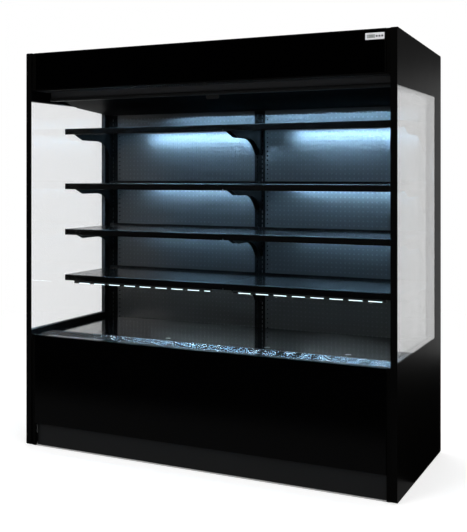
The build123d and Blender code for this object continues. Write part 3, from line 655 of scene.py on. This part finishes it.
choose(outlet_frame, "FACE", lambda face: abs(face.normal.z) > 0.9 and face.calc_area() > 0.1)
bpy.ops.mesh.bridge_edge_loops()
end_edit()
bevelled(outlet_frame, 0.0006, 1)
stand_for(joined(outlet_frame, comb), black_plastic, "air_outlet")

# Back panels.
# Perforated sheet steel, sprayed dark grey and half gloss, with 24 mm between its holes. One panel
# fills each bay between the uprights, and its sides are folded back behind them.
panel_slate = coated(
    "panel_slate", (0.006, 0.006, 0.0062), 0.28, grain=0, specular=1.0, uneven=0.015, ior=1.6
)
hole_pitch = 0.024
hole_width = 0.006
hole_corner = 0.29
panel_fold = 0.0185
panel_sheet = 0.0012
panel_low = 0.545
panel_high = 1.7197
panel_front = 0.305
for side, x_low, x_high in (("left", -0.8737, -0.0053), ("right", 0.0553, 0.8737)):
    columns = int((x_high - x_low) / hole_pitch)
    rows = int((panel_high - panel_low) / hole_pitch)
    middle_x, middle_z = (x_low + x_high) / 2, (panel_low + panel_high) / 2
    bpy.ops.object.select_all(action="DESELECT")
    bpy.ops.mesh.primitive_grid_add(
        x_subdivisions=columns, y_subdivisions=rows, size=1,
        location=(middle_x, panel_front, middle_z), rotation=ALONG_Y,
    )
    bpy.context.object.scale = (columns * hole_pitch, rows * hole_pitch, 1)
    panel = named(f"back_panel_{side}")
    shape_edit(panel)
    bpy.ops.mesh.select_mode(type="FACE")
    bpy.ops.mesh.select_all(action="SELECT")
    bpy.ops.mesh.inset(use_individual=True, thickness=(hole_pitch - hole_width) / 2)
    bpy.ops.mesh.bevel(
        offset=hole_width * hole_corner, offset_type="OFFSET", segments=1, affect="VERTICES"
    )
    choose(panel, "FACE", lambda face: face.calc_area() < hole_width**2)
    bpy.ops.mesh.delete(type="FACE")
    end_edit()
    reach_x, reach_z = columns * hole_pitch / 2, rows * hole_pitch / 2
    for vertex in panel.data.vertices:
        place = vertex.co
        if abs(place.x - middle_x) > reach_x - 0.001:
            place.x = x_low if place.x < middle_x else x_high
        if abs(place.z - middle_z) > reach_z - 0.001:
            place.z = panel_low if place.z < middle_z else panel_high
    shape_edit(panel)
    choose(panel, "EDGE", lambda edge: min(
        abs(middle_of(edge).x - x) for x in (x_low, x_high)
    ) < 0.0001)
    bpy.ops.mesh.extrude_region_move(TRANSFORM_OT_translate={"value": (0, panel_fold, 0)})
    bpy.ops.mesh.select_all(action="SELECT")
    bpy.ops.mesh.normals_make_consistent(inside=False)
    choose(panel, "FACE", lambda face: abs(face.normal.y) > 0.9)
    flat_faces = [face for face in bmesh.from_edit_mesh(panel.data).faces if face.select]
    if flat_faces[0].normal.y > 0:
        bpy.ops.mesh.select_all(action="SELECT")
        bpy.ops.mesh.flip_normals()
    end_edit()
    applied(panel, "SOLIDIFY", thickness=panel_sheet, offset=-1)
    stand_for(panel, panel_slate, "back_panels")

# Uprights.
# Folded channels of thicker sheet with a slot every 24.3 mm: one column of slots at the cabinet's
# ends, and two where the bays meet.
upright_black = coated("upright_black", (0.0012, 0.0012, 0.0012), 0.4, grain=0.3, specular=0.05)
slot_pitch = 0.0243
slot_first = 0.5745
slot_rows = 47
slot_size = (0.0045, 0.014)
upright_half = 0.030
upright_face = 0.302
upright_depth = 0.0427
upright_sheet = 0.0025
upright_low, upright_high = 0.541, 1.720
slot_columns = ((-0.904, (0.0,)), (0.025, (-0.0145, 0.0145)), (0.904, (0.0,)))
for place, (middle, columns) in enumerate(slot_columns):
    marks = [-upright_half]
    for column in columns:
        marks += [column - slot_size[0] / 2, column + slot_size[0] / 2]
    marks.append(upright_half)
    heights = (-slot_pitch / 2, -slot_size[1] / 2, slot_size[1] / 2, slot_pitch / 2)
    bpy.ops.object.select_all(action="DESELECT")
    bpy.ops.mesh.primitive_grid_add(
        x_subdivisions=len(marks) - 1, y_subdivisions=3, size=1,
        location=(middle, upright_face, slot_first), rotation=ALONG_Y,
    )
    upright = named(f"upright_{place + 1}")
    spans_x = sorted({round(vertex.co.x, 5) for vertex in upright.data.vertices})
    spans_z = sorted({round(vertex.co.z, 5) for vertex in upright.data.vertices})
    for vertex in upright.data.vertices:
        vertex.co.x = middle + marks[spans_x.index(round(vertex.co.x, 5))]
        vertex.co.z = slot_first + heights[spans_z.index(round(vertex.co.z, 5))]
    shape_edit(upright)
    choose(upright, "FACE", lambda face: abs(face.calc_area() - slot_size[0] * slot_size[1]) < 1e-7)
    bpy.ops.mesh.delete(type="FACE")
    end_edit()
    applied(
        upright, "ARRAY", count=slot_rows, use_relative_offset=False, use_constant_offset=True,
        constant_offset_displace=(0, 0, slot_pitch),
        use_merge_vertices=True, merge_threshold=0.0001,
    )
    lowest = slot_first - slot_pitch / 2
    highest = slot_first + slot_pitch * (slot_rows - 0.5)
    for vertex in upright.data.vertices:
        if vertex.co.z < lowest + 0.0005:
            vertex.co.z = upright_low
        if vertex.co.z > highest - 0.0005:
            vertex.co.z = upright_high
    shape_edit(upright)
    choose(upright, "EDGE", lambda edge: all(
        abs(abs(vertex.co.x - middle) - upright_half) < 0.0001 for vertex in edge.verts
    ))
    bpy.ops.mesh.extrude_region_move(TRANSFORM_OT_translate={"value": (0, upright_depth, 0)})
    bpy.ops.mesh.select_all(action="SELECT")
    bpy.ops.mesh.normals_make_consistent(inside=False)
    end_edit()
    applied(upright, "SOLIDIFY", thickness=upright_sheet, offset=-1)
    stand_for(upright, upright_black, "shelf_uprights")

# Brackets.
# Sixteen tapered plates of 3 mm steel, coated black, two under each shelf. They hook into the
# uprights' slots.
eased("shelf_brackets", 0.0004, upright_black, 1)

# Shelves.
# Folded trays of black coated steel, four levels in two bays, each resting on two brackets.
shelf_black = coated("shelf_black", (0.0015, 0.0015, 0.0015), 0.2, grain=0, specular=0.2)
for level in range(1, 5):
    for side in ("left", "right"):
        eased(f"shelf_{level}_{side}", 0.0004, shelf_black, 1)

# Light strips.
# Extruded channels under the shelves' front edges and the canopy, each with an opal lens over rows
# of diodes and two moulded caps. The lowest hang down below their shelves, hooded at the back.
diode_row = 0.094
diode_share = 0.7
lowest_drop = 0.035
lens_rim = 0.8035
led_white = (0.38, 0.69, 1.0)
unlit = (0.0, 0.0, 0.0, 1.0)


def lamp_lens(name, colour, strength, rim=None):
    """A lens lit from within by rows of diodes, dark between them. Where a rim is given, its sides
    show the rows faintly, up to the height of that rim."""
    material, shade = new_finish(name)
    gap = (placed(shade).part("X") / diode_row).math("FRACT") > diode_share
    glow = gap.mix(tinted(colour, 1.0), unlit)
    if rim:
        facing = shade.node("NewGeometry", output="True Normal")
        side = facing.part("Z") > -0.98
        dark = gap.math("MAXIMUM", placed(shade).part("Z") > rim)
        glow = side.mix(glow, dark.mix(tinted(colour, 0.006), unlit))
    # The lens's own colour repeats its glow, rows and gaps alike: painted light.
    body = shade.node("BsdfPrincipled", None, {
        "Base Color": glow,
        "Roughness": 0.5,
        "Emission Color": glow,
        "Emission Strength": strength,
    })
    shade.node("OutputMaterial", None, {"Surface": body})
    return material


lit_lenses = [
    lamp_lens("lit_lens_1", led_white, 310.0),
    lamp_lens("lit_lens_2", led_white, 240.0),
    lamp_lens("lit_lens_3", led_white, 170.0),
    lamp_lens("lit_lens_4", (0.75, 0.92, 1.0), 280.0, lens_rim),
]
canopy_lens = lamp_lens("canopy_lens", led_white, 220.0)
channel_black = coated("channel_black", (0.02, 0.02, 0.021), 0.35, metallic=0.3)
cap_black = coated("cap_black", (0.012, 0.012, 0.012), 0.5)
cap_wide = 0.003
channel_wall, channel_groove = 0.0012, 0.003
lens_deep, lens_grip = 0.008, 0.002
lens_inset, lens_round = 0.0014, 0.0050


def light_strip(name, node, low, high, lens_material, hooded=False):
    """A channel with a lens below it, a cap on each end and, where it is hooded, a plate behind."""
    waist = low[2] + lens_deep
    channel = block(
        f"{name}_channel", (low[0] + cap_wide, low[1], waist),
        (high[0] - cap_wide, high[1], high[2]),
    )
    if hooded:
        hood = block(
            f"{name}_hood", (low[0] + cap_wide, high[1] - channel_wall, low[2]),
            (high[0] - cap_wide, high[1], waist + lens_grip / 2),
        )
        stand_for(hood, channel_black, node)
    shape_edit(channel)
    choose(channel, "FACE", lambda face: face.normal.z < -0.9)
    bpy.ops.mesh.inset(thickness=channel_wall)
    bpy.ops.mesh.extrude_region_move(TRANSFORM_OT_translate={"value": (0, 0, channel_groove)})
    end_edit()
    bevelled(channel, 0.0004, 1)
    stand_for(channel, channel_black, node)
    lens = block(
        f"{name}_lens", (low[0] + cap_wide, low[1] + lens_inset, low[2]),
        (high[0] - cap_wide, high[1] - lens_inset, waist + lens_grip),
    )
    shape_edit(lens)
    choose(lens, "EDGE", lambda edge: middle_of(edge).z < low[2] + 0.0001
           and abs(edge.verts[0].co.x - edge.verts[1].co.x) > 0.01)
    bpy.ops.mesh.bevel(offset=lens_round, segments=3, affect="EDGES")
    end_edit()
    stand_for(lens, lens_material, node)
    cap = block(f"{name}_caps", low, (low[0] + cap_wide, high[1], high[2]))
    bevelled(cap, 0.0006, 2)
    repeated(cap, [(high[0] - low[0] - cap_wide, 0, 0)])
    stand_for(cap, cap_black, node)


for level in range(1, 5):
    for side in ("left", "right"):
        node = f"led_strip_{level}_{side}"
        low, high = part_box(node)
        if level == 4:
            low = (low[0], low[1], low[2] - lowest_drop)
        light_strip(node, node, low, high, lit_lenses[level - 1], level == 4)
low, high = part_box("canopy_light")
light_strip("canopy_lamp", "canopy_light", low, high, canopy_lens)

# Deck trays.
# Two pans of gloss coated steel, side by side over the well. They lie loose and lift out by the
# two finger holes in each.
deck_black = coated("deck_black", (0.0010, 0.0011, 0.0013), 0.09, grain=0)
for side in ("left", "right"):
    eased(f"deck_tray_{side}", 0.0002, deck_black, 1)

# Return air grille.
# A welded steel frame with six round bars along it and five ties under them, finished in gloss
# black. It lies in front of the deck trays and lifts out.
grille_black = coated("grille_black", (0.002, 0.002, 0.0022), 0.05, grain=0, specular=1.0)
grille_low = (-0.9372, -0.3757, 0.541)
grille_high = (0.9372, -0.2313, 0.566)
grille_border = 0.009
grille_sheet = 0.0016
bars, bar_radius, bar_length = 6, 0.0035, 1.868
ties, tie_half, tie_low, tie_high = 5, 0.0035, 0.5535, 0.5595
grille = block("grille_frame", grille_low, grille_high)
shape_edit(grille)
choose(grille, "FACE", lambda face: face.normal.z < -0.9)
bpy.ops.mesh.delete(type="FACE")
choose(grille, "FACE", lambda face: face.normal.z > 0.9)
bpy.ops.mesh.inset(thickness=grille_border)
bpy.ops.mesh.delete(type="FACE")
end_edit()
applied(grille, "SOLIDIFY", thickness=grille_sheet, offset=-1)
bevelled(grille, 0.0014, 3)
grille_middle = (grille_low[1] + grille_high[1]) / 2
bar_pitch = (grille_high[1] - grille_low[1] - 2 * grille_border + 2 * bar_radius) / (bars + 1)
bar = rod(
    "grille_bars", (0, grille_middle - (bars - 1) / 2 * bar_pitch, grille_high[2] - bar_radius),
    bar_radius, bar_length, ALONG_X, sides=20,
)
bevelled(bar, 0.0006, 1, 60)
repeated(bar, [(0, bar_pitch * step, 0) for step in range(1, bars)])
tie_pitch = 2 * (grille_high[0] - grille_border) / (ties + 1)
first_tie = -2 * tie_pitch
tie = block(
    "grille_ties", (first_tie - tie_half, grille_low[1] + 0.002, tie_low),
    (first_tie + tie_half, grille_high[1] - 0.002, tie_high),
)
bevelled(tie, 0.001, 2)
repeated(tie, [(tie_pitch * step, 0, 0) for step in range(1, ties)])
stand_for(joined(grille, bar, tie), grille_black, "return_grille")

# Front panel, kick plate, end trims and header.
# The lower panel is gloss coated steel with rolled edges, and a dull kick plate is set back below
# it. The header is a steel frame with a gloss acrylic pane. Narrow trims close both at the ends.
front_black = coated("front_black", (0.0004, 0.0004, 0.00045), 0.14, grain=0, specular=0.08)
acrylic = coated("header_acrylic", (0.0002, 0.0002, 0.00025), 0.05, grain=0, specular=0.1)
kick_grey = coated("kick_grey", (0.008, 0.0083, 0.0086), 0.4, specular=0.15)
eased("front_panel", 0.0004, front_black, 1)
eased("header_frame", 0.0008, side_black)
eased("header_pane", 0.0004, acrylic, 1)
eased("end_trims", 0.0008, side_black)
eased("kick_plate", 0.0003, kick_grey, 1)

# Temperature controller.
# A moulded pale grey plate clipped into the header, with a pale display and three rubber buttons.
# The display shows the temperature in dark figures.
bezel_grey = coated("bezel_grey", (0.7, 0.7, 0.72), 0.4, grain=0.5, uneven=0.04)
display_pale = coated("display_pale", (0.34, 0.36, 0.35), 0.12, grain=0, uneven=0.05)
figure_black = coated("figure_black", (0.02, 0.02, 0.02), 0.4, grain=0)
button_rubber = coated("button_rubber", (0.10, 0.10, 0.10), 0.6)
eased("controller_bezel", 0.0005, bezel_grey, 3)
eased("controller_display", 0.0002, display_pale, 1)
bpy.ops.object.select_all(action="DESELECT")
bpy.ops.object.text_add(location=(0, 0, 0))
figures = bpy.context.object
figures.data.body = "3.5"
figures.data.size = 0.014
figures.data.align_x = "CENTER"
figures.data.align_y = "CENTER"
figures.data.extrude = 0.0001
bpy.ops.object.convert(target="MESH")
figures = bpy.context.object
figures.rotation_euler = ALONG_Y
figures.location = (0.852, -0.3951, 1.9665)
figures = named("display_figures")
stand_for(figures, figure_black, body="cabinet", slot_name=slots["controller_button_1"])
for number in (1, 2, 3):
    eased(f"controller_button_{number}", 0.0004, button_rubber, 2)

# Night blind.
# Woven cloth wound on a spring roller behind the header. When the blind is up, only a short hem
# hangs out of the roll, and ends in an extruded bar with a grip tab.


def woven(name, colour, thread):
    """Plain weave: threads over and under each other in two directions, on hanging cloth."""
    material, shade = new_finish(name)
    warp = (placed(shade).part("X") * (math.pi / thread)).math("SINE")
    weft = (placed(shade).part("Z") * (math.pi / thread)).math("SINE")
    over = (warp * weft) * 0.5 + 0.5
    fuzz = noise(shade, 1500.0, 2.0)
    # Where threads dip under, the cloth is darker: painted shade in the weave's hollows.
    body = shade.node("BsdfPrincipled", None, {
        "Base Color": (over * 0.7 + fuzz * 0.3).mix(tinted(colour, 0.6), tinted(colour, 1.3)),
        "Roughness": 0.75 + 0.2 * over,
        "Sheen Weight": 0.2,
        "Normal": relief(shade, over, 0.4, 0.0002),
    })
    shade.node("OutputMaterial", None, {"Surface": body})
    return material


blind_cloth = woven("blind_cloth", (0.03, 0.03, 0.032), 0.0008)
bar_black = coated("bar_black", (0.012, 0.012, 0.012), 0.35, metallic=0.2)
eased("night_blind_bar", 0.0005, bar_black, 2)
roller_y, roller_z = -0.2263, 1.835
roll_radius, roll_length = 0.0229, 1.864
wound_edge, wound_step = 0.0022, 0.0006
roll = rod("blind_roll", (0, roller_y, roller_z), roll_radius, roll_length, ALONG_X, sides=64)
shape_edit(roll)
for turn in range(3):
    choose(roll, "FACE", lambda face: abs(face.normal.x) > 0.9 and face.calc_area() > 0.0002
           and abs(middle_of(face).x) > 0.93 - 0.001 * turn)
    bpy.ops.mesh.inset(thickness=wound_edge)
    bpy.ops.mesh.inset(thickness=0.0002, depth=-wound_step if turn % 2 else wound_step)
end_edit()
stand_for(roll, blind_cloth, "night_blind_roller")
tube_end = rod("blind_tube", (0, roller_y, roller_z), 0.006, 1.894, ALONG_X, sides=24)
bevelled(tube_end, 0.0008, 2)
stand_for(tube_end, zinc, "night_blind_roller")
hem_y, hem_low, hem_high = -0.25, 1.7803, 1.835
hem_wide, hem_wave, waves = 1.850, 0.0003, 9.0
bpy.ops.object.select_all(action="DESELECT")
bpy.ops.mesh.primitive_grid_add(
    x_subdivisions=120, y_subdivisions=10, size=1, location=(0, hem_y, (hem_low + hem_high) / 2),
    rotation=ALONG_Y,
)
bpy.context.object.scale = (hem_wide, hem_high - hem_low, 1)
hem = named("blind_hem")
for vertex in hem.data.vertices:
    down = (hem_high - vertex.co.z) / (hem_high - hem_low)
    vertex.co.y += hem_wave * down * math.sin(vertex.co.x * waves + 1.0)
applied(hem, "SOLIDIFY", thickness=0.0006, offset=0)
hem.data.materials.clear()
hem.data.materials.append(blind_cloth)
pick(hem)
bpy.ops.object.shade_smooth_by_angle(angle=math.radians(40))
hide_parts("night_blind_fabric")
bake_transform(hem)

# Stage.
# A pale floor keeps the cabinet's soft shadow, and a white wall behind it is there for the gloss
# faces alone. Seen straight or through the glass, floor and sky are white, but for a painted shadow
# on the floor under the cabinet. In a gloss face both are dark, but for the floor close to the
# cabinet's front.
white = (1.0, 1.0, 1.0, 1.0)
pale = (0.6, 0.6, 0.6, 1.0)
front_glow = 0.3
shadow_reach = 1.6
cabinet_half = (0.93, 0.385)


def sight(shade, in_front):
    """Two masks over the rays: those that see the stage straight or through the glass, and those
    that see it in a gloss face. What a gloss face sends through the glass to a place in front of
    the cabinet counts only as the second."""
    straight = shade.node("LightPath", output="Is Camera Ray")
    through = shade.node("LightPath", output="Is Transmission Ray")
    glossy = shade.node("LightPath", output="Is Glossy Ray")
    bounces = shade.node("LightPath", output="Glossy Depth")
    once = (bounces > 0.5) * (bounces < 1.5)
    seen = straight.math("MAXIMUM", through * (1 - once * in_front))
    return seen, glossy.math("MAXIMUM", once)


bpy.ops.object.select_all(action="DESELECT")
bpy.ops.mesh.primitive_plane_add(size=30, location=(0, 0, 0))
floor = bpy.context.object
floor.name = "floor"
material, shade = new_finish("floor_white")
where = placed(shade)
x, y = where.part("X"), where.part("Y")
seen, mirrored = sight(shade, y < 0.0)
away = shade.node("VectorMath", {"operation": "LENGTH"}, {0: where}, output="Value")
far = ((away - shadow_reach) * 0.3).clamped(0.0, 1.0)
# Under the cabinet the floor's own glow is almost black: a painted shadow where the floor shows
# through the cabinet.
under = (x.math("ABSOLUTE") < cabinet_half[0]) * (y.math("ABSOLUTE") < cabinet_half[1])
near_front = ((y + 1.5) * 0.8).clamped(0.0, front_glow) * (y < -0.1)
lit = shade.node("BsdfDiffuse", None, {"Color": far.mix(pale, unlit)})
own = under.mix(far.mix(pale, white), tinted(white, 0.02))
glow = shade.node("Emission", None, {"Color": own, "Strength": 1.0})
bright = shade.node("AddShader", None, {0: lit, 1: glow})
dim = shade.node("Emission", None, {"Color": white, "Strength": near_front})
plain = shade.node("BsdfDiffuse", None, {"Color": tinted(white, 0.5)})
unseen = shade.node("MixShader", None, {0: mirrored, 1: plain, 2: dim})
body = shade.node("MixShader", None, {0: seen, 1: unseen, 2: bright})
shade.node("OutputMaterial", None, {"Surface": body})
floor.data.materials.append(material)

bpy.ops.object.select_all(action="DESELECT")
bpy.ops.mesh.primitive_plane_add(size=1, location=(0, 2.8, 2.5), rotation=ALONG_Y)
bpy.context.object.scale = (14, 5, 1)
wall = named("wall_behind")
material, shade = new_finish("wall_white")
glossy = shade.node("LightPath", output="Is Glossy Ray")
above = ((placed(shade).part("Z") - 2.0) * 4.0).clamped(0.0, 1.0)
strength = 1 - glossy * above * 0.8
glow = shade.node("Emission", None, {"Color": white, "Strength": strength})
shade.node("OutputMaterial", None, {"Surface": glow})
wall.data.materials.append(material)
wall.visible_camera = False
wall.visible_transmission = False
wall.visible_diffuse = False
wall.visible_shadow = False

# Lamps and sky.
# Three wide lamps, which the gloss faces don't show, light the cabinet softly from the left, the
# right and above, and a plain sky fills the shade.
for place, size, power in (
    ((-2.2, -6.0, 4.2), 2.4, 190.0),
    ((3.5, -2.5, 4.5), 2.0, 70.0),
    ((0.0, 1.0, 4.6), 2.0, 60.0),
):
    bpy.ops.object.light_add(type="AREA", location=place)
    lamp = bpy.context.object
    lamp.data.size = size
    lamp.data.energy = power
    lamp.rotation_euler = (-lamp.location).to_track_quat("-Z", "Y").to_euler()
    lamp.visible_glossy = False

world = bpy.data.worlds.new("sky")
scene.world = world
world.use_nodes = True
world.node_tree.nodes.clear()
shade = Shade(world.node_tree)
ahead = shade.node("TexCoord", output="Generated")
seen, mirrored = sight(shade, ahead.part("Y") < 0.0)
low_sky = ((0.10 - ahead.part("Z")) * 20.0).clamped(0.0, 1.0)
strength = seen + (1 - seen) * (0.5 - mirrored * (0.5 - 0.1 * low_sky))
sky = shade.node("Background", None, {"Color": white, "Strength": strength})
shade.node("OutputWorld", None, {"Surface": sky})
